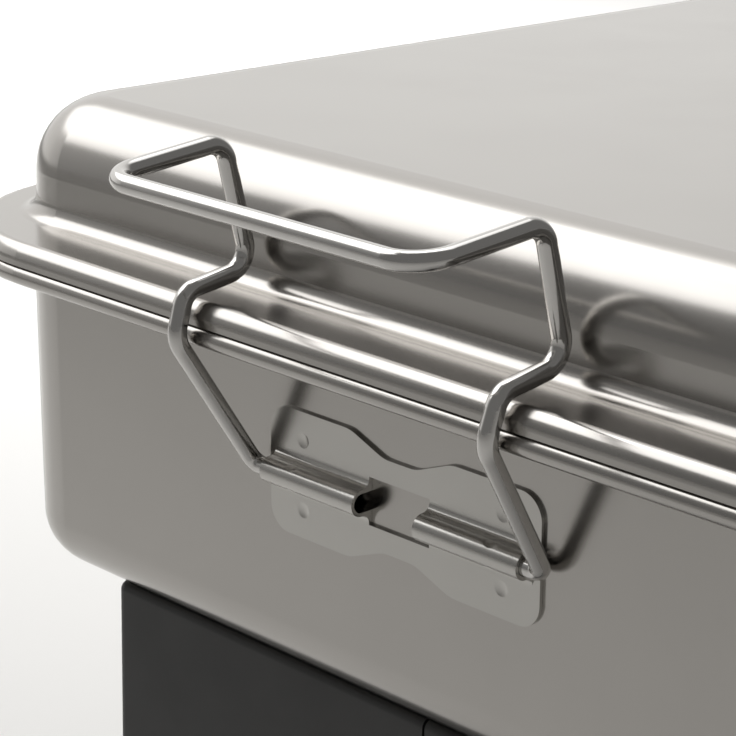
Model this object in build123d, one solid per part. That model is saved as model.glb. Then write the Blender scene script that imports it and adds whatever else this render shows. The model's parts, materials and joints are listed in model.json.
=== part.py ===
from build123d import *

import os
from math import cos, radians, tan

# Electric box smoker: a drawn stainless tub with a lid held down by two wire bails, on a black sheet stand
# that carries the heating element. Millimetres. X runs along the box, Z up, origin under the middle.

# ---- tub and lid ----
rim_length = 500.0          # over the tub's rolled rim, along X
rim_width = 304.0           # over the tub's rolled rim, along Y
stand_height = 140.0        # table to the underside of the tub
tub_depth = 82.0            # underside of the tub to the top of its rim
lid_rise = 27.0             # lid flange to the top of the lid
rim_corner = 48.0           # plan radius of the rims' outer corners
wall_corner = 24.0          # plan radius of the tub wall's corners, at rim height
wall_draft = 1.1            # degrees that the drawn walls lean outward
sheet = 0.8                 # stainless sheet of the tub, lid and latch plates
end_overhang = 18.86        # tub's end wall to the outside of its rolled rim, at rim height
side_overhang = 14.6        # tub's side wall to the outside of its rolled rim, at rim height
roll_height = 4.4           # height of the tub's rolled rim
tub_floor_radius = 13.0     # outside radius between the tub's wall and its floor
lid_lip_depth = 4.7         # lid flange to the bottom of its turned-down lip
lid_lip_inset = 0.8         # lid lip inside the tub's roll, each side
lid_bead_radius = 3.5       # rounded edge of the lid's flange
lid_wall_inset = 0.6        # lid wall inside the tub wall, at rim height
lid_base_radius = 4.0       # hollow radius where the lid wall meets its flange
lid_top_radius = 17.0       # soft radius round the lid's top
lid_seat_gap = 0.1          # lid lip above the tub's rim
full_round = 0.01           # left flat in the middle of a fully rounded edge

# ---- bails ----
wire = 4.0                  # bail wire
pivot_drop = 33.0           # rim top down to the bail's pivot
pivot_standoff = 3.0        # tub wall to the pivot axis
pivot_play = 0.08           # radial play of the wire in its channel
bail_span = 82.6            # between the bail's legs at the pivot
bail_end = 29.0             # length of wire inside each channel
bulge_splay = 2.2           # how far each leg spreads by the rims, and at the grip bar
hook_splay = 2.6            # how far each leg spreads over the lid
rim_clear = 0.5             # wire to the lid when the bail is shut
bulge_clear = 1.5           # wire to the tub's roll, before its bend is rounded
shoulder_in = 2.8           # bulge in to the shoulder over the lid's bead
shoulder_rise = 0.5         # room under the shoulder, before its bend is rounded
hook_rise = 3.0             # room under the hook's inner bend, before it is rounded
corner_reach = 7.0          # pivot out to the top corner of each leg
corner_height = 70.3        # pivot up to the top corner of each leg
bail_reach = 38.2           # pivot out to the grip bar
bail_height = 67.4          # pivot up to the grip bar
bail_bends = (2.6, 6.0, 4.5, 5.0, 5.0, 8.0)     # bend radii from the pivot to the grip bar

# ---- latch plates ----
plate_width = 77.2
plate_height = 28.2
waist_height = 20.4         # plate height at its waist
waist_flat = 9.0            # length of the straight part of the waist
waist_shoulder = 29.0       # plate length over which the waist narrows
waist_bend = 9.0            # radius of the waist's bends
plate_corner = 5.5
channel_length = 73.4
channel_root = 2.0          # hollow radius beside the channel
window_length = 17.3
dimple_spacing = (57.0, 15.6)
dimple_radius = 6.0         # ball that presses the weld dimples
dimple_depth = 0.25
weld_gap = 0.05             # between pieces that are welded, soldered or clamped flat

# ---- stand ----
stand_inset_end = 7.1       # tub wall at its floor to the stand's end panel
stand_inset_side = 32.5     # tub wall at its floor to the stand's side panel
stand_sheet = 1.0
stand_corner = 3.0
stand_top_bend = 2.0        # outside radius along the stand's top edge
stand_top_flange = 18.0
stand_foot_flange = 26.0
seam_gap = 0.7
arch_height = 22.0          # cut-out along the stand's lower edge
arch_margin = 46.0          # stand corner to the start of the cut-out
arch_corner = 12.0
strap_width = 26.0
strap_end_gap = 8.0         # strap's end to the stand's flange or cut-out
strap_rivet_rise = (20.0, 46.0)     # strap's lower end up to its rivets
rivet_shank = 3.1
rivet_head = 6.4
rivet_head_height = 1.2
rivet_tail = 4.8
rivet_tail_height = 1.4
rivet_play = 0.05           # radial room round a rivet or screw
foot_height = 10.0
foot_radius = 11.0
foot_inset = 2.0            # foot to the stand's panels
foot_recess = 5.0           # depth and radius of the hollow for the screw's head
screw_shank = 3.9
screw_head = 7.2
screw_head_height = 2.4
screw_end = 4.0             # thread above the stand's flange
nut_size = 8.0              # across the corners
nut_height = 3.0

# ---- heater ----
reflector_drop = 38.0       # tub floor down to the reflector
reflector_lip = 14.0
reflector_gap = 0.2
reflector_bend = 1.5
reflector_rivet_inset = 72.5        # stand's end to the outer rivets
strap_room = 3.0            # reflector's end to the stand's end panel, past the strap and its rivets
element_tube = 8.0
element_drop = 13.0         # tub floor down to the element's axis
element_side_clear = 28.0   # stand's side to the outer run
element_end_clear = 32.5    # stand's end to the far turns
element_inner_end = 60.0    # how much sooner the inner hairpin turns
element_turn_back = 20.0    # cold end back to the near turn
cold_end_inset = 40.5       # stand's end to the cold ends
cold_end_drop = 14.0        # reflector down to the cold ends' tips
cold_end_bend = 12.0
cold_end_room = 1.0         # hole in the reflector round a cold end
pin_size = 3.6
pin_length = 9.0
support_x = 90.0            # element supports from the middle
support_plate = 1.2
support_foot = 10.0
support_bridge = 9.0        # height of the supports' lower bar
support_post = 18.0         # width of the supports' posts
support_over = 20.0         # supports' width short of four lanes
notch_play = 0.15

# ---- terminal housing ----
housing_length = 92.0
housing_height = 42.0
housing_corner = 3.0
housing_inset = 54.5        # stand's end to the housing's middle
housing_margin = 7.0        # inner cold end to the housing's front
gland_hole = 16.0
gland_bore = 8.2
gland_play = 0.1
gland_shoulder = 4.0        # how far the gland's hexagons stand round their hole
gland_collar = 5.0
gland_cap = 9.0
gland_cap_round = 3.0
gland_thread = 12.0
gland_nut_height = 4.0
block_size = (20.0, 38.0, 15.0)
block_inset = 22.0          # housing's middle to the terminal block
block_lane = 12.0           # between the block's ways
block_hole = 3.4
block_hole_height = 6.0
lead_size = 2.8
lead_bend = 3.0
lead_turn = 8.0             # cold end to the lead's turn towards the block
cutout_disc = 16.0
cutout_flange = 19.0
cutout_height = 7.0
cutout_inset = 14.0         # housing's middle to the cut-out
cutout_wall_gap = 4.0       # cut-out to the housing's front
blade_size = (0.8, 4.8, 9.0)
blade_spacing = 9.0

# ---- tray and racks ----
tray_clear = 28.5           # tub wall at its floor to the drip tray's floor
tray_depth = 12.0
tray_corner = 18.0
tray_bend = 4.0
tray_draft = 12.0
tray_lift = 14.0            # tub floor to the underside of the drip tray
tray_foot_radius = 7.0
tray_foot_bend = 2.0
tray_foot_inset = 30.0
rack_clear = 14.0           # tub wall at its floor to the racks' frame
rack_corner = 24.0
rack_wire = 4.0
rod = 2.6
rod_pitch = 14.0
lower_rack_lift = 38.0      # tub floor to the lower rack's frame axis
upper_rack_lift = 74.0      # tub floor to the upper rack's frame axis
rack_foot_length = 46.0
rack_foot_inset = 70.0      # frame's end to the middle of a foot
rack_foot_bend = 6.0

# ---- places that follow from them ----
slope = tan(radians(wall_draft))
rim_top = stand_height + tub_depth
half_wall_x = rim_length / 2 - end_overhang
half_wall_y = rim_width / 2 - side_overhang
half_floor_x = half_wall_x - tub_depth * slope
half_floor_y = half_wall_y - tub_depth * slope
floor_corner = wall_corner - tub_depth * slope
floor_top = stand_height + sheet
lid_flange_top = rim_top + lid_seat_gap + lid_lip_depth
pivot_z = rim_top - pivot_drop
pivot_x = half_wall_x - pivot_drop * slope + pivot_standoff / cos(radians(wall_draft))
stand_half_x = half_floor_x - stand_inset_end
stand_half_y = half_floor_y - stand_inset_side
reflector_z = stand_height - reflector_drop
element_z = stand_height - element_drop
element_lane = 2 * (stand_half_y - element_side_clear) / 3
cold_end_x = stand_half_x - cold_end_inset
cold_end_tip = reflector_z - cold_end_drop
foot_x = stand_half_x - stand_sheet - foot_radius - foot_inset
foot_y = stand_half_y - stand_sheet - foot_radius - foot_inset
rack_length = 2 * (half_floor_x - rack_clear)
rack_width = 2 * (half_floor_y - rack_clear)
tray_length = 2 * (half_floor_x - tray_clear)
tray_width = 2 * (half_floor_y - tray_clear)
upward = (Align.CENTER, Align.CENTER, Align.MIN)
downward = (Align.CENTER, Align.CENTER, Align.MAX)

nodes = {}


def place(shape, x=0.0, y=0.0, z=0.0):
    return Pos(x, y, z) * shape


def block(length, width, height, corner=0.0):
    """Upright block on the XY plane, with rounded corners if asked."""
    outline = RectangleRounded(length, width, corner) if corner else Rectangle(length, width)
    return extrude(outline, amount=height)


def drawn_body(length, width, height, corner, edge_radius, taper):
    """Block whose walls lean by taper degrees and whose end face has a rounded edge."""
    body = extrude(RectangleRounded(length, width, corner), amount=height, taper=taper)
    end = body.faces().sort_by(Axis.Z)[-1 if taper > 0 else 0]
    return fillet(end.edges(), edge_radius)


def hexagon(radius, height):
    return extrude(RegularPolygon(radius, 6), amount=height)


def rod_along(start, end, radius):
    """Straight round rod between two points."""
    line = Line(start, end)
    return sweep(Plane(origin=start, z_dir=line % 0) * Circle(radius), path=line)


def bent_tube(points, radii, radius):
    """Round wire or tube along straight runs joined by arcs."""
    path = FilletPolyline(*points, radius=radii)
    return sweep(Plane(origin=path @ 0, z_dir=path % 0) * Circle(radius), path=path)


def both_ends(shape):
    """The same piece at the -X end and, turned half round, at the +X end."""
    return shape, Rot(0, 0, 180) * shape


def bore(diameter, x, y, z, turn):
    """Cutter for a hole through one sheet wall: turn is the axis, "x", "y" or "z"."""
    cutter = Cylinder(diameter / 2, 6 * roll_height)
    turned = {"x": Rot(0, 90, 0), "y": Rot(90, 0, 0), "z": Rot(0, 0, 0)}[turn] * cutter
    return place(turned, x, y, z)


# ---- tub and lid ----
def make_tub():
    outer = drawn_body(2 * half_floor_x, 2 * half_floor_y, tub_depth, floor_corner, tub_floor_radius,
                       -wall_draft)
    inner = drawn_body(2 * (half_floor_x - sheet), 2 * (half_floor_y - sheet), tub_depth,
                       floor_corner - sheet, tub_floor_radius - sheet, -wall_draft)
    roll = block(rim_length, rim_width, roll_height, rim_corner)
    roll_edges = roll.edges().group_by(Axis.Z)
    roll = fillet(roll_edges[0] + roll_edges[-1], roll_height / 2 - full_round)
    hollow = block(rim_length - 2 * sheet, rim_width - 2 * sheet, roll_height - 2 * sheet,
                   rim_corner - sheet)
    hollow_edges = hollow.edges().group_by(Axis.Z)
    hollow = fillet(hollow_edges[0] + hollow_edges[-1], roll_height / 2 - sheet - full_round)
    lip = block(rim_length - 2 * roll_height, rim_width - 2 * roll_height, roll_height,
                rim_corner - roll_height)
    rim = roll - place(hollow, z=sheet) - place(lip, z=-sheet)
    rim = place(rim, z=tub_depth - roll_height)
    shell = outer + rim - place(inner, z=sheet)
    return place(shell, z=stand_height)


def make_lid():
    outer = lid_form(0.0)
    inner = lid_form(sheet)
    return place(outer - inner, z=rim_top + lid_seat_gap)


def lid_form(inset):
    """Solid shape of the lid's outside, or of its inside when inset is the sheet."""
    edge = lid_lip_inset + inset
    flange = block(rim_length - 2 * edge, rim_width - 2 * edge, lid_lip_depth - inset, rim_corner - edge)
    flange = fillet(flange.faces().sort_by(Axis.Z)[-1].edges(), lid_bead_radius - inset)
    wall = lid_wall_inset + inset
    crown = drawn_body(2 * (half_wall_x - wall), 2 * (half_wall_y - wall), lid_lip_depth + lid_rise - inset,
                       wall_corner - wall, lid_top_radius - inset, wall_draft)
    form = flange + crown
    seam = [edge for edge in form.edges() if is_crown_seam(edge, lid_lip_depth - inset)]
    return fillet(seam, lid_base_radius + inset)


def is_crown_seam(edge, level):
    """True for the edges where the crown rises from the flange."""
    box = edge.bounding_box()
    flat = abs(box.min.Z - level) < full_round and abs(box.max.Z - level) < full_round
    return flat and max(abs(box.min.X), abs(box.max.X)) < half_wall_x


# ---- latches ----
def make_plate():
    """Latch plate at the -X end: a waisted plate with a half-round channel, cut by a window."""
    half = plate_width / 2
    rise = plate_height / 2
    waist = waist_height / 2
    shoulder = waist_shoulder / 2
    flat = waist_flat / 2
    upper = [(half, rise), (shoulder, rise), (flat, waist), (-flat, waist), (-shoulder, rise), (-half, rise)]
    lower = [(-y, -z) for y, z in upper]
    outline = Polygon(*upper, *lower, align=None)
    outline = fillet([v for v in outline.vertices() if abs(v.X) > shoulder + full_round], plate_corner)
    outline = fillet([v for v in outline.vertices() if abs(v.X) < shoulder + full_round], waist_bend)
    # the sketch lies in the wall's plane: its X is the row's Y, its normal points out along -X
    wall = Plane(origin=(pivot_standoff - weld_gap, 0, 0), x_dir=(0, -1, 0), z_dir=(-1, 0, 0))
    plate = extrude(wall * outline, amount=sheet)
    face_x = pivot_standoff - weld_gap - sheet
    channel_in = wire / 2 + pivot_play
    channel_out = channel_in + sheet
    plate += channel_bar(channel_out, channel_length)
    for side in (-1, 1):
        plate += root_strip(face_x, side * channel_out, side)
    plate -= channel_bar(channel_in, 2 * plate_width)
    plate -= Box(4 * channel_out, window_length, 2 * (channel_out + channel_root) + sheet)
    for y in (-dimple_spacing[0] / 2, dimple_spacing[0] / 2):
        for z in (-dimple_spacing[1] / 2, dimple_spacing[1] / 2):
            plate -= place(Sphere(dimple_radius), face_x - dimple_radius + dimple_depth, y, z)
    plate = Rot(0, -wall_draft, 0) * plate
    return place(plate, -pivot_x, 0, pivot_z)


def channel_bar(radius, length):
    """Half-round bar on the pivot axis with straight flanks back to the wall."""
    depth = pivot_standoff - weld_gap
    bar = Rot(90, 0, 0) * Cylinder(radius, length)
    behind = place(Box(2 * radius, 2 * length, 4 * radius), radius + depth, 0, 0)
    return bar + place(Box(depth, length, 2 * radius), depth / 2, 0, 0) - behind


def root_strip(face_x, flank_z, side):
    """Hollow round between the plate's face and one flank of the channel."""
    strip = Box(channel_root, channel_length, channel_root)
    strip = place(strip, face_x - channel_root / 2, 0, flank_z + side * channel_root / 2)
    hollow = Rot(90, 0, 0) * Cylinder(channel_root, 2 * channel_length)
    return strip - place(hollow, face_x - channel_root, 0, flank_z + side * channel_root)


def make_bail():
    """Bail at the -X end: pivot ends, legs round the rims, hook over the lid, arms and grip bar."""
    roll_x = pivot_x - rim_length / 2                   # rim's outside from the pivot, negative
    wall_x = pivot_x - half_wall_x + lid_wall_inset     # lid wall from the pivot
    bulge_x = roll_x - wire / 2 - bulge_clear
    bulge_z = pivot_drop - roll_height / 2
    flange_z = lid_flange_top - pivot_z + wire / 2
    half = bail_span / 2
    near = half + bulge_splay
    far = half + hook_splay
    leg = [(0, half - bail_end, 0), (0, half, 0), (bulge_x, near, bulge_z),
           (bulge_x + shoulder_in, far, flange_z + shoulder_rise),
           (wall_x - wire / 2 - rim_clear, far, flange_z + hook_rise), (-corner_reach, far, corner_height),
           (-bail_reach, near, bail_height)]
    other = [(x, -y, z) for x, y, z in leg]
    bail = bent_tube(other + leg[::-1], bail_bends + bail_bends[::-1], wire / 2)
    return place(bail, -pivot_x, 0, pivot_z)


# ---- inside the tub ----
def make_tray():
    outer = drawn_body(tray_length, tray_width, tray_depth, tray_corner, tray_bend, -tray_draft)
    inner = drawn_body(tray_length - 2 * sheet, tray_width - 2 * sheet, tray_depth, tray_corner - sheet,
                       tray_bend - sheet, -tray_draft)
    return place(outer - place(inner, z=sheet), z=floor_top + tray_lift)


def make_tray_feet():
    foot = Cylinder(tray_foot_radius, tray_lift - 2 * weld_gap, align=upward)
    foot = fillet(foot.edges().group_by(Axis.Z)[0], tray_foot_bend)
    reach_x = tray_length / 2 - tray_foot_inset
    reach_y = tray_width / 2 - tray_foot_inset
    return [place(foot, x, y, floor_top + weld_gap) for x in (-reach_x, reach_x) for y in (-reach_y, reach_y)]


def make_rack_frame(level):
    loop = RectangleRounded(rack_length, rack_width, rack_corner).face().outer_wire()
    section = Plane(origin=loop @ 0, z_dir=loop % 0) * Circle(rack_wire / 2)
    return place(sweep(section, path=loop), z=floor_top + level)


def make_rack_rods(level):
    z = floor_top + level + rack_wire / 2 + rod / 2 + weld_gap
    count = int((rack_length - 2 * rack_corner) // rod_pitch)
    reach = rack_width / 2 + rack_wire / 2
    first = -rod_pitch * count / 2
    rods = []
    for i in range(count + 1):
        x = first + rod_pitch * i
        rods.append(rod_along((x, -reach, z), (x, reach, z), rod / 2))
    return rods


def make_rack_feet(level, foot_level):
    """Four bent wire feet: down from the frame, along, and up again."""
    top = level - rack_wire / 2 - weld_gap
    low = foot_level + rack_wire / 2 + weld_gap
    middle = rack_length / 2 - rack_foot_inset
    feet = []
    for x in (-middle, middle):
        for y in (-rack_width / 2, rack_width / 2):
            start = x - rack_foot_length / 2
            end = x + rack_foot_length / 2
            points = [(start, y, top), (start, y, low), (end, y, low), (end, y, top)]
            feet.append(place(bent_tube(points, [rack_foot_bend] * 2, rack_wire / 2), z=floor_top))
    return feet


# ---- stand ----
def make_stand_half():
    """Front half of the stand: side panel, two half end panels, inward flanges at top and bottom."""
    length = 2 * stand_half_x
    width = 2 * stand_half_y
    height = stand_height - foot_height - weld_gap
    clear_x = length - 2 * stand_sheet
    clear_y = width - 2 * stand_sheet
    body = block(length, width, height, stand_corner)
    body = fillet(body.faces().sort_by(Axis.Z)[-1].edges(), stand_top_bend)
    inner = block(clear_x, clear_y, height - 2 * stand_sheet, stand_corner - stand_sheet)
    inner = fillet(inner.faces().sort_by(Axis.Z)[-1].edges(), stand_top_bend - stand_sheet)
    shell = body - place(inner, z=stand_sheet)
    mouth = block(length - 2 * stand_top_flange, width - 2 * stand_top_flange, 4 * stand_sheet)
    shell -= place(mouth, z=height - 2 * stand_sheet)
    shell -= place(block(length - 2 * stand_foot_flange, clear_y, 4 * stand_sheet), z=-2 * stand_sheet)
    shell -= place(block(clear_x, width - 2 * stand_foot_flange, 4 * stand_sheet), z=-2 * stand_sheet)
    shell -= arch(length, 2 * width)
    shell -= Rot(0, 0, 90) * arch(width, 2 * length)
    shell = place(shell, z=foot_height)
    keep = Box(2 * length, width, 4 * stand_height)
    half = shell & place(keep, y=-width / 2 - seam_gap / 2)
    for x in (-foot_x, foot_x):
        half -= bore(screw_shank + 2 * rivet_play, x, -foot_y, foot_height, "z")
    return half


def arch(span, depth):
    """Cutter for the low opening between the feet of one pair of panels."""
    cutter = block(span - 2 * arch_margin, depth, 2 * arch_height)
    upper = cutter.edges().filter_by(Axis.Y).group_by(Axis.Z)[-1]
    return place(fillet(upper, arch_corner), z=-arch_height)


def make_rivet(grip):
    """Blind rivet along +Y with its domed head outside and its tail inside."""
    shank = Cylinder(rivet_shank / 2, grip, align=upward)
    head = Cylinder(rivet_head / 2, rivet_head_height, align=downward)
    head = fillet(head.edges().group_by(Axis.Z)[0], 0.75 * rivet_head_height)
    tail = place(Cylinder(rivet_tail / 2, rivet_tail_height, align=upward), z=grip)
    return Rot(-90, 0, 0) * (shank + head + tail)


def strap_low():
    return foot_height + arch_height + strap_end_gap


def make_strap():
    """Joining strap behind the seam of the -X end panels."""
    height = stand_height - 2 * stand_sheet - strap_end_gap / 2 - strap_low()
    x = -stand_half_x + stand_sheet + weld_gap + stand_sheet / 2
    return place(Box(stand_sheet, strap_width, height), x, 0, strap_low() + height / 2)


def seam_rivet_places():
    return [(y, strap_low() + rise) for y in (-strap_width / 4, strap_width / 4) for rise in strap_rivet_rise]


def reflector_rivet_places():
    reach = stand_half_x - reflector_rivet_inset
    return [(x, reflector_z + reflector_lip / 2) for x in (-reach, 0.0, reach)]


def make_foot():
    foot = Cylinder(foot_radius, foot_height, align=upward)
    foot = fillet(foot.edges().group_by(Axis.Z)[0], 0.3 * foot_recess)
    foot -= Cylinder(foot_recess, foot_recess, align=upward)
    return foot - bore(screw_shank + 2 * rivet_play, 0, 0, foot_height, "z")


def make_foot_screw():
    """Pan-head screw up through the foot and the stand's flange, with its nut."""
    length = foot_height - foot_recess + stand_sheet + screw_end
    shank = place(Cylinder(screw_shank / 2, length, align=upward), z=foot_recess - weld_gap)
    head = place(Cylinder(screw_head / 2, screw_head_height, align=downward), z=foot_recess - weld_gap)
    nut = place(hexagon(nut_size / 2, nut_height), z=foot_height + stand_sheet + weld_gap)
    return head + shank + nut


# ---- heater ----
def make_reflector():
    """Bright pan under the element, its lip against the stand's side panels."""
    length = 2 * (stand_half_x - 2 * stand_sheet - strap_room)
    width = 2 * (stand_half_y - stand_sheet - reflector_gap)
    outer = block(length, width, reflector_lip, stand_corner)
    outer = fillet(outer.faces().sort_by(Axis.Z)[0].edges(), reflector_bend)
    inner = block(length - 2 * sheet, width - 2 * sheet, reflector_lip, stand_corner - sheet)
    pan = outer - place(inner, z=sheet)
    for x, y in cold_ends():
        pan -= bore(element_tube + 2 * cold_end_room, x, y, 0, "z")
    return place(pan, z=reflector_z)


def cold_ends():
    return [(cold_end_x, 1.5 * element_lane), (cold_end_x, 0.5 * element_lane)]


def make_element():
    """Sheathed element: an outer loop and an inner hairpin, both ends turned down at one corner."""
    outer_y = 1.5 * element_lane
    inner_y = 0.5 * element_lane
    turn = element_lane / 2 - sheet
    end_x = -stand_half_x + element_end_clear
    inner_x = end_x + element_inner_end
    near_x = cold_end_x - element_turn_back
    z = element_z
    points = [(cold_end_x, outer_y, cold_end_tip), (cold_end_x, outer_y, z), (end_x, outer_y, z),
              (end_x, -outer_y, z), (near_x, -outer_y, z), (near_x, -inner_y, z), (inner_x, -inner_y, z),
              (inner_x, inner_y, z), (cold_end_x, inner_y, z), (cold_end_x, inner_y, cold_end_tip)]
    return bent_tube(points, [cold_end_bend] + [turn] * 6 + [cold_end_bend], element_tube / 2)


def make_terminal_pins():
    pin = Cylinder(pin_size / 2, pin_length, align=downward)
    return [place(pin, x, y, cold_end_tip) for x, y in cold_ends()]


def make_support(x):
    """Notched sheet upright that carries the element's four runs above the reflector."""
    base = reflector_z + sheet + weld_gap
    height = element_z + support_plate - base
    width = 4 * element_lane - support_over
    room = element_tube / 2 + notch_play
    upright = place(Box(support_plate, width, height, align=upward))
    foot_middle = (support_foot - support_plate) / 2
    upright += place(Box(support_foot, width, support_plate, align=upward), foot_middle, 0, 0)
    for lane in (-1.5, -0.5, 0.5, 1.5):
        notch = Rot(0, 90, 0) * Cylinder(room, support_foot)
        notch += Box(support_foot, 2 * room, element_tube, align=upward)
        upright -= place(notch, 0, lane * element_lane, element_z - base)
    gap = Box(support_foot - support_plate, element_lane - support_post, height, align=upward)
    for lane in (-1, 0, 1):
        upright -= place(gap, 0, lane * element_lane, support_bridge)
    return place(upright, x, 0, base)


def housing_width():
    front = 0.5 * element_lane - housing_margin
    return stand_half_y - stand_sheet - weld_gap - front


def housing_middle():
    """Middle of the terminal housing, whose back stands against the rear panel."""
    y = stand_half_y - stand_sheet - weld_gap - housing_width() / 2
    return stand_half_x - housing_inset, y, reflector_z - weld_gap - housing_height / 2


def make_housing():
    """Sheet box under the reflector, open at the top, with a gland hole in its back."""
    x, y, z = housing_middle()
    outer = Box(housing_length, housing_width(), housing_height)
    outer = fillet(outer.edges().filter_by(Axis.Z), housing_corner)
    inner = Box(housing_length - 2 * sheet, housing_width() - 2 * sheet, housing_height)
    inner = fillet(inner.edges().filter_by(Axis.Z), housing_corner - sheet)
    box = place(outer - place(inner, z=sheet), x, y, z)
    return box - bore(gland_hole, x, stand_half_y, z, "y")


def make_gland_body():
    """Gland with its collar outside the rear panel and its thread through panel and housing."""
    x, _, z = housing_middle()
    collar = hexagon(gland_hole / 2 + gland_shoulder, gland_collar)
    collar = chamfer(collar.edges().group_by(Axis.Z)[-1], gland_collar / 5)
    cap = place(Cylinder((gland_hole + gland_shoulder) / 2, gland_cap, align=upward), z=gland_collar)
    cap = fillet(cap.edges().group_by(Axis.Z)[-1], gland_cap_round)
    body = Cylinder(gland_hole / 2 - gland_play, gland_thread, align=downward) + collar + cap
    body -= Cylinder(gland_bore / 2, 4 * gland_thread)
    return place(Rot(-90, 0, 0) * body, x, stand_half_y + weld_gap, z)


def make_gland_nut():
    x, y, z = housing_middle()
    nut = hexagon(gland_hole / 2 + gland_shoulder, gland_nut_height)
    nut -= Cylinder((gland_hole - gland_play) / 2, 4 * gland_nut_height)
    inner_face = y + housing_width() / 2 - sheet - weld_gap
    return place(Rot(90, 0, 0) * nut, x, inner_face, z)


def terminal_block_place():
    x, y, z = housing_middle()
    return x - block_inset, y, z - housing_height / 2 + sheet + weld_gap


def make_terminal_block():
    """Ceramic three-way terminal block on the housing's floor."""
    x, y, z = terminal_block_place()
    body = Box(*block_size, align=upward)
    body = fillet(body.edges().filter_by(Axis.Z), 0.1 * block_size[0])
    for lane in (-block_lane, 0.0, block_lane):
        body -= place(Rot(0, 90, 0) * Cylinder(block_hole / 2, 2 * block_size[0]), 0, lane, block_hole_height)
        body -= place(Cylinder(block_hole / 2, block_hole), 0, lane, block_size[2])
    return place(body, x, y, z)


def make_lead(index):
    """Insulated lead from one element pin to the terminal block."""
    pin_x, pin_y = cold_ends()[index]
    x, y, z = terminal_block_place()
    lane = y + (block_lane, -block_lane)[index]
    top = cold_end_tip - pin_length - weld_gap
    low = z + block_hole_height
    points = [(pin_x, pin_y, top), (pin_x, pin_y, low), (pin_x - lead_turn, lane, low),
              (x + block_size[0] / 5, lane, low)]
    return bent_tube(points, [lead_bend] * 2, lead_size / 2)


def make_cutout():
    """Disc cut-out clipped under the reflector, with its two blades."""
    x, y, _ = housing_middle()
    body = Cylinder(cutout_disc / 2, cutout_height, align=downward)
    body += Cylinder(cutout_flange / 2, 1.25 * sheet, align=downward)
    for side in (-blade_spacing / 2, blade_spacing / 2):
        body += place(Box(*blade_size, align=downward), side, 0, weld_gap - cutout_height)
    front = y - housing_width() / 2 + sheet + cutout_wall_gap + cutout_flange / 2
    return place(body, x - cutout_inset, front, reflector_z - weld_gap)


# ---- all pieces ----
def make_smoking_box():
    nodes["tub"] = make_tub()
    nodes["lid"] = make_lid()
    for side, plate, bail in zip(("left", "right"), both_ends(make_plate()), both_ends(make_bail())):
        nodes["latch_plate_" + side] = plate
        nodes["latch_bail_" + side] = bail
    nodes["drip_tray"] = make_tray()
    nodes["tray_feet"] = make_tray_feet()
    above_rods = lower_rack_lift + rack_wire / 2 + rod + weld_gap
    for name, level, foot_level in (("lower", lower_rack_lift, 0.0), ("upper", upper_rack_lift, above_rods)):
        nodes[name + "_rack_frame"] = make_rack_frame(level)
        nodes[name + "_rack_rods"] = make_rack_rods(level)
        nodes[name + "_rack_feet"] = make_rack_feet(level, foot_level)


def make_stand():
    front = make_stand_half()
    rear = Rot(0, 0, 180) * front
    gland_x, _, gland_z = housing_middle()
    rear -= bore(gland_hole, gland_x, stand_half_y, gland_z, "y")
    reflector = make_reflector()
    strap = make_strap()
    seam_rivets = []
    for y, z in seam_rivet_places():
        hole = bore(rivet_shank + 2 * rivet_play, -stand_half_x, y, z, "x")
        rivet = place(Rot(0, 0, -90) * make_rivet(2 * stand_sheet + weld_gap), -stand_half_x, y, z)
        seam_rivets += both_ends(rivet)
        strap -= hole
        for cutter in both_ends(hole):
            front -= cutter
            rear -= cutter
    reflector_rivets = []
    for x, z in reflector_rivet_places():
        hole = bore(rivet_shank + 2 * rivet_play, x, -stand_half_y, z, "y")
        rivet = place(make_rivet(stand_sheet + reflector_gap + sheet), x, -stand_half_y, z)
        reflector_rivets += both_ends(rivet)
        for cutter in both_ends(hole):
            front -= cutter
            rear -= cutter
            reflector -= cutter
    nodes["stand_front"] = front
    nodes["stand_rear"] = rear
    nodes["seam_strap_left"], nodes["seam_strap_right"] = both_ends(strap)
    nodes["seam_rivets"] = seam_rivets
    nodes["reflector"] = reflector
    nodes["reflector_rivets"] = reflector_rivets
    screws = []
    for row, y in (("front", -foot_y), ("rear", foot_y)):
        for side, x in (("left", -foot_x), ("right", foot_x)):
            nodes["foot_" + row + "_" + side] = place(make_foot(), x, y)
            screws.append(place(make_foot_screw(), x, y))
    nodes["foot_screws"] = screws


def make_heater():
    nodes["heating_element"] = make_element()
    nodes["element_pins"] = make_terminal_pins()
    nodes["element_support_left"] = make_support(-support_x)
    nodes["element_support_right"] = make_support(support_x)
    nodes["terminal_housing"] = make_housing()
    nodes["gland_body"] = make_gland_body()
    nodes["gland_nut"] = make_gland_nut()
    nodes["terminal_block"] = make_terminal_block()
    nodes["lead_live"] = make_lead(0)
    nodes["lead_neutral"] = make_lead(1)
    nodes["thermal_cutout"] = make_cutout()


def write_nodes():
    os.makedirs("parts", exist_ok=True)
    for name, shape in nodes.items():
        pieces = shape if isinstance(shape, (list, tuple)) else [shape]
        solids = [solid for piece in pieces for solid in piece.solids()]
        export_step(Compound(children=solids) if len(solids) > 1 else solids[0], f"parts/{name}.step")
        print(f"{name}: {len(solids)} solid(s), {sum(s.volume for s in solids):.1f} mm3")


make_smoking_box()
make_stand()
make_heater()
write_nodes()
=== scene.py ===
import bpy
import json
from math import radians
from mathutils import Euler, Matrix, Vector


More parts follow.
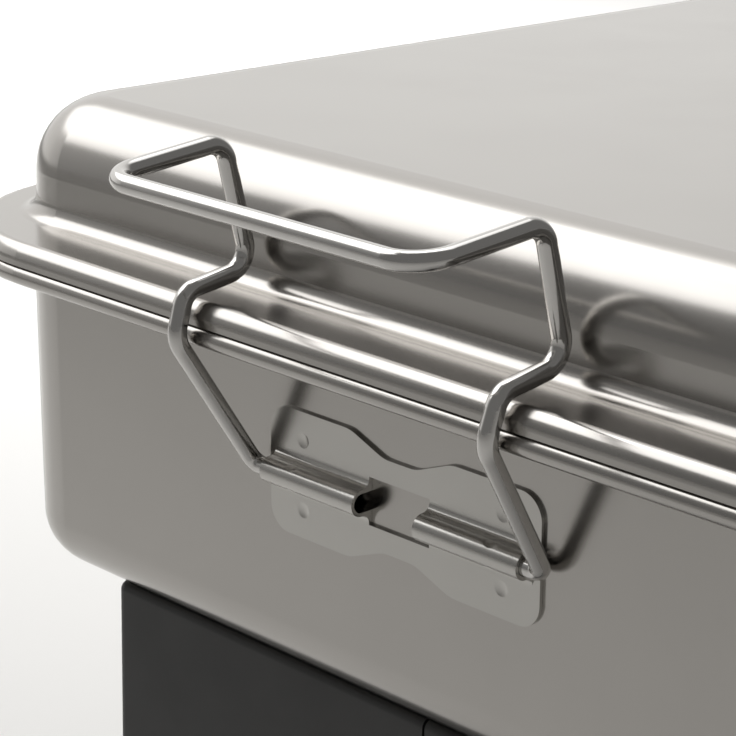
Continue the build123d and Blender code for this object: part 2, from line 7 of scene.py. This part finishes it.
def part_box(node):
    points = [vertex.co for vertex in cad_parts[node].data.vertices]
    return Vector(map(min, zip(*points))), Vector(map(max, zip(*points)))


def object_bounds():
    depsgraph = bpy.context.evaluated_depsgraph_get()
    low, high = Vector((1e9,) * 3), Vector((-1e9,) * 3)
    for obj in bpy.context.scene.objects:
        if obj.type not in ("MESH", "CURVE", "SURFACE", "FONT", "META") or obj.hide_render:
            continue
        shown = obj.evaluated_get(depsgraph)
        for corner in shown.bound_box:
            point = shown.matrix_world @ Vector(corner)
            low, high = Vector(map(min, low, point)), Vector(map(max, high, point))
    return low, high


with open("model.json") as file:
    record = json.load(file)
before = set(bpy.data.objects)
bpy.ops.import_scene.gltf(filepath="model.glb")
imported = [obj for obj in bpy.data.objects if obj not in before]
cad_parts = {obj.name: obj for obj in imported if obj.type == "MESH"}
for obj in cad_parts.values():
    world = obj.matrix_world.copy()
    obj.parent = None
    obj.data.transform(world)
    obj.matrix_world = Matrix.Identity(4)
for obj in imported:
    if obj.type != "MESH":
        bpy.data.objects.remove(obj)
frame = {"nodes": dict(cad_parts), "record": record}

bpy.context.scene.view_settings.view_transform = 'Standard'  # plain colours, no film curve
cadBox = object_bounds()
nodes = frame["nodes"]
bpy.ops.object.select_all(action='DESELECT')
print("frame loaded:", len(nodes), "nodes")


def hexToLinear(code):
    # sRGB hex to the linear colour that shaders take
    channels = [int(code[i:i + 2], 16) / 255 for i in (1, 3, 5)]
    return [c / 12.92 if c <= 0.04045 else ((c + 0.055) / 1.055) ** 2.4 for c in channels] + [1.0]


def addNode(tree, kind, settings=None, inputs=None, links=None):
    # one node: properties, values on its sockets, and links {input socket: (node, output socket)}
    node = tree.nodes.new(kind)
    for name, value in (settings or {}).items():
        setattr(node, name, value)
    for name, value in (inputs or {}).items():
        node.inputs[name].default_value = value
    for name, (source, output) in (links or {}).items():
        tree.links.new(source.outputs[output], node.inputs[name])
    return node


def newMaterial(name):
    mat = bpy.data.materials.new(name)
    mat.use_nodes = True
    tree = mat.node_tree
    tree.nodes.clear()
    return mat, tree


def perMetre(millimetres):
    # pattern scale for a feature of that size, on Object coordinates in metres
    return 1000.0 / millimetres


viewSettings = {"lens": 122.3, "azimuth": -44.37, "tilt": 72.5, "roll": 1.15, "distance": 0.4762,
                "sensor": 36, "clip": 0.01, "flangeHeight": 0.0047, "aimBeyond": -0.0008,
                "aimIn": 0.0006, "aimSide": -0.0087, "aimDrop": -0.0014}


def buildCamera(s):
    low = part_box("lid")[0]
    flangeTop = low[2] + s["flangeHeight"]
    aim = Vector((low[0] + s["aimBeyond"] + s["aimIn"], s["aimSide"], flangeTop + s["aimDrop"]))
    data = bpy.data.cameras.new("camera")
    data.lens = s["lens"]
    data.sensor_width = s["sensor"]
    data.clip_start = s["clip"]
    camera = bpy.data.objects.new("camera", data)
    bpy.context.scene.collection.objects.link(camera)
    aimed = Euler((radians(s["tilt"]), 0, radians(s["azimuth"]))).to_matrix()
    turn = aimed @ Matrix.Rotation(radians(s["roll"]), 3, 'Z')
    camera.rotation_euler = turn.to_euler()
    camera.location = aim + turn @ Vector((0, 0, s["distance"]))
    bpy.context.scene.camera = camera
    print("camera at", [round(c, 4) for c in camera.location])


lightSettings = {
    "overhead": {"at": (0.3, 0.35, 1.25), "aim": (0.0, 0.0, 0.2), "size": (0.9, 0.7),
                 "power": 0.8, "spread": 70},
    "rearSoftbox": {"at": (-0.31, 1.16, 1.35), "aim": (0.0, 0.0, 0.2), "size": (1.5, 1.1),
                    "power": 4.6, "spread": 120},
    "rearFloor": {"at": (0.66, 1.05, 1.9), "aim": (0.66, 1.05, 0.0), "size": (0.5, 0.5),
                  "power": 8.5, "spread": 75}}
worldSettings = {"tint": "#FFFEFC", "dim": 0.2, "bright": 1.05,
                 "towards": (0.36, 0.93, 0.15), "from": 0.3, "full": 0.92}


def buildLights(settings):
    for name, s in settings.items():
        data = bpy.data.lights.new(name, 'AREA')
        data.shape = 'RECTANGLE'
        data.size, data.size_y = s["size"]
        data.energy = s["power"]
        data.spread = radians(s["spread"])
        lamp = bpy.data.objects.new(name, data)
        bpy.context.scene.collection.objects.link(lamp)
        lamp.location = s["at"]
        lamp.rotation_euler = (lamp.location - Vector(s["aim"])).to_track_quat('Z', 'Y').to_euler()


def buildWorld(s):
    # a dim room with one large soft bright side behind the box
    world = bpy.data.worlds.new("studio room")
    bpy.context.scene.world = world
    world.use_nodes = True
    tree = world.node_tree
    tree.nodes.clear()
    coords = addNode(tree, "ShaderNodeTexCoord")
    toward = addNode(tree, "ShaderNodeVectorMath", {"operation": 'DOT_PRODUCT'},
                     links={0: (coords, "Generated")})
    toward.inputs[1].default_value = Vector(s["towards"]).normalized()
    level = addNode(tree, "ShaderNodeMapRange", {"interpolation_type": 'SMOOTHSTEP'},
                    {"From Min": s["from"], "From Max": s["full"], "To Min": s["dim"], "To Max": s["bright"]},
                    {"Value": (toward, "Value")})
    back = addNode(tree, "ShaderNodeBackground", inputs={"Color": hexToLinear(s["tint"])},
                   links={"Strength": (level, "Result")})
    addNode(tree, "ShaderNodeOutputWorld", links={"Surface": (back, "Background")})


floorSettings = {"size": 14.0, "gap": 0.0002, "colour": "#E9E8E6", "roughness": 0.8, "specular": 0.1}


def buildFloor(s):
    bpy.ops.mesh.primitive_plane_add(size=s["size"], location=(0, 0, cadBox[0][2] - s["gap"]))
    floor = bpy.context.object
    floor.name = "studioFloor"
    bpy.ops.object.transform_apply(location=True)
    mat, tree = newMaterial("matte paper floor")
    shader = addNode(tree, "ShaderNodeBsdfPrincipled",
                     inputs={"Base Color": hexToLinear(s["colour"]), "Roughness": s["roughness"],
                             "Specular IOR Level": s["specular"]})
    addNode(tree, "ShaderNodeOutputMaterial", links={"Surface": (shader, "BSDF")})
    floor.data.materials.append(mat)
    bpy.ops.object.select_all(action='DESELECT')


# smudge size in mm, bump depths in metres
steelSettings = {"smudgeSize": 35.0, "shade": 0.94, "waveDepth": 0.001, "grainDepth": 0.00002}


def steelMaterial(name, colour, roughness, wave=0.0, waveSize=60.0, grain=0.0, grainSize=0.25, smudge=0.06):
    # bare metal: slow waves from drawing, a polish grain drawn coarse enough to show, faint smudges in the gloss
    s = steelSettings
    mat, tree = newMaterial(name)
    coords = addNode(tree, "ShaderNodeTexCoord")
    slow = addNode(tree, "ShaderNodeTexNoise", inputs={"Scale": perMetre(waveSize), "Detail": 2.0},
                   links={"Vector": (coords, "Object")})
    fine = addNode(tree, "ShaderNodeTexNoise", inputs={"Scale": perMetre(grainSize), "Detail": 3.0},
                   links={"Vector": (coords, "Object")})
    soft = addNode(tree, "ShaderNodeTexNoise", inputs={"Scale": perMetre(s["smudgeSize"]), "Detail": 5.0},
                   links={"Vector": (coords, "Object")})
    rough = addNode(tree, "ShaderNodeMapRange",
                    inputs={"From Min": 0.3, "From Max": 0.7, "To Min": roughness - smudge * roughness,
                            "To Max": roughness + smudge * roughness},
                    links={"Value": (soft, "Fac")})
    tint = addNode(tree, "ShaderNodeMix", {"data_type": 'RGBA'}, links={0: (soft, "Fac")})
    tint.inputs[6].default_value = hexToLinear(colour)
    tint.inputs[7].default_value = [c * s["shade"] for c in hexToLinear(colour)[:3]] + [1.0]
    waveBump = addNode(tree, "ShaderNodeBump", inputs={"Strength": wave, "Distance": s["waveDepth"]},
                       links={"Height": (slow, "Fac")})
    grainBump = addNode(tree, "ShaderNodeBump", inputs={"Strength": grain, "Distance": s["grainDepth"]},
                        links={"Height": (fine, "Fac"), "Normal": (waveBump, "Normal")})
    shader = addNode(tree, "ShaderNodeBsdfPrincipled", inputs={"Metallic": 1.0},
                     links={"Base Color": (tint, 2), "Roughness": (rough, "Result"),
                            "Normal": (grainBump, "Normal")})
    addNode(tree, "ShaderNodeOutputMaterial", links={"Surface": (shader, "BSDF")})
    return mat


coatSettings = {"patchSize": 28.0, "shade": 0.8, "glossDrift": 0.08, "skinDepth": 0.00005}


def coatMaterial(name, colour, roughness, bump, bumpSize, specular=0.5):
    # non-metal: moulded, coated, glazed or braided, with a pebbled skin of its own size
    s = coatSettings
    mat, tree = newMaterial(name)
    coords = addNode(tree, "ShaderNodeTexCoord")
    pebble = addNode(tree, "ShaderNodeTexNoise", inputs={"Scale": perMetre(bumpSize), "Detail": 2.0},
                     links={"Vector": (coords, "Object")})
    patch = addNode(tree, "ShaderNodeTexNoise", inputs={"Scale": perMetre(s["patchSize"]), "Detail": 4.0},
                    links={"Vector": (coords, "Object")})
    tint = addNode(tree, "ShaderNodeMix", {"data_type": 'RGBA'}, links={0: (patch, "Fac")})
    tint.inputs[6].default_value = hexToLinear(colour)
    tint.inputs[7].default_value = [c * s["shade"] for c in hexToLinear(colour)[:3]] + [1.0]
    rough = addNode(tree, "ShaderNodeMapRange",
                    inputs={"From Min": 0.3, "From Max": 0.7, "To Min": roughness * (1 - s["glossDrift"]),
                            "To Max": min(1.0, roughness * (1 + s["glossDrift"]))},
                    links={"Value": (patch, "Fac")})
    skin = addNode(tree, "ShaderNodeBump", inputs={"Strength": bump, "Distance": s["skinDepth"]},
                   links={"Height": (pebble, "Fac")})
    shader = addNode(tree, "ShaderNodeBsdfPrincipled", inputs={"Specular IOR Level": specular},
                     links={"Base Color": (tint, 2), "Roughness": (rough, "Result"), "Normal": (skin, "Normal")})
    addNode(tree, "ShaderNodeOutputMaterial", links={"Surface": (shader, "BSDF")})
    return mat


def buildMaterials():
    return {
        # 304 stainless deep drawn from bright sheet: soft wide reflections, slightly warm grey, faint drawing waves
        "drawn_stainless": steelMaterial("drawn stainless, bright rolled", "#B1AEAA", 0.2,
                                         wave=0.15, waveSize=70, grain=0.15, grainSize=0.4),
        # thin pressed stainless: a little paler than the box, its reflections softened by the press
        "latch_plate": steelMaterial("pressed stainless plate", "#BDBBB7", 0.22, wave=0.1,
                                     waveSize=25, grain=0.2, grainSize=0.3),
        # drawn and polished wire: long sharp streaks of light along each run
        "bail_wire": steelMaterial("polished stainless wire", "#C9C7C4", 0.14, wave=0.05,
                                   waveSize=12, grain=0.15, grainSize=0.3),
        # polyester powder, sprayed and baked: near black, low sheen, a fine pebbled skin
        "black_powder": coatMaterial("black powder coat, fine texture", "#1E1E1D", 0.5, 0.35, 0.5),
        # electropolished wire: bright and smooth
        "rack_wire": steelMaterial("electropolished rack wire", "#C9C8C5", 0.16, wave=0.05,
                                   waveSize=12, grain=0.2, grainSize=0.3),
        # rolled and folded sheet: satin, with the mill's fine grain
        "tray_stainless": steelMaterial("rolled stainless tray", "#B9B6B1", 0.26, wave=0.15,
                                        waveSize=40, grain=0.3, grainSize=0.4),
        # hot dipped aluminised sheet: pale and cool, with a soft spangle
        "aluminised_sheet": steelMaterial("aluminised steel sheet", "#BFC1C2", 0.36, wave=0.1,
                                          waveSize=30, grain=0.6, grainSize=0.8),
        # set and painted over: a shade lighter than the stand, with a little more gloss
        "rivet_steel": coatMaterial("black painted rivet", "#242423", 0.45, 0.2, 0.4),
        # electroplated zinc: cool and satin
        "zinc_screw": steelMaterial("zinc plated steel", "#C2C5C9", 0.3, grain=0.4, grainSize=0.3),
        # compression moulded rubber: dull black, no clear highlight
        "foot_rubber": coatMaterial("moulded black rubber", "#222222", 0.8, 0.5, 0.4, 0.3),
        # oxidised sheath: dark, dull, uneven from heat
        "element_sheath": steelMaterial("heat darkened element sheath", "#6E6A62", 0.42,
                                        grain=0.5, grainSize=0.5, smudge=0.2),
        # nickel plate: warm and fairly bright
        "terminal_steel": steelMaterial("nickel plated pin", "#C4BFB4", 0.25, grain=0.3,
                                        grainSize=0.3),
        # injection moulded nylon: black with a fine satin skin
        "gland_nylon": coatMaterial("moulded black nylon", "#262628", 0.5, 0.3, 0.3),
        # pressed and fired steatite: off-white, fine and hard
        "ceramic": coatMaterial("unglazed steatite", "#E4DFD2", 0.5, 0.4, 0.3),
        # braided glass yarn: matt cream, drawn as a fuzzy skin and not as a weave
        "lead_sleeve": coatMaterial("braided glass sleeve", "#DCD8CB", 0.85, 0.8, 0.6),
        # tinned pressing: soft metallic grey
        "cutout_body": steelMaterial("tinned cut-out cap", "#BDB7AC", 0.28, grain=0.3,
                                     grainSize=0.3),
    }


def dressNodes(materials):
    slotOf = {part["node"]: part["material_slot"] for part in frame["record"]["subparts"]}
    for name, obj in nodes.items():
        obj.data.materials.clear()
        obj.data.materials.append(materials[slotOf[name]])


buildCamera(viewSettings)
buildLights(lightSettings)
buildWorld(worldSettings)
buildFloor(floorSettings)
print("studio built")
materials = buildMaterials()
dressNodes(materials)
print("materials:", len(materials))
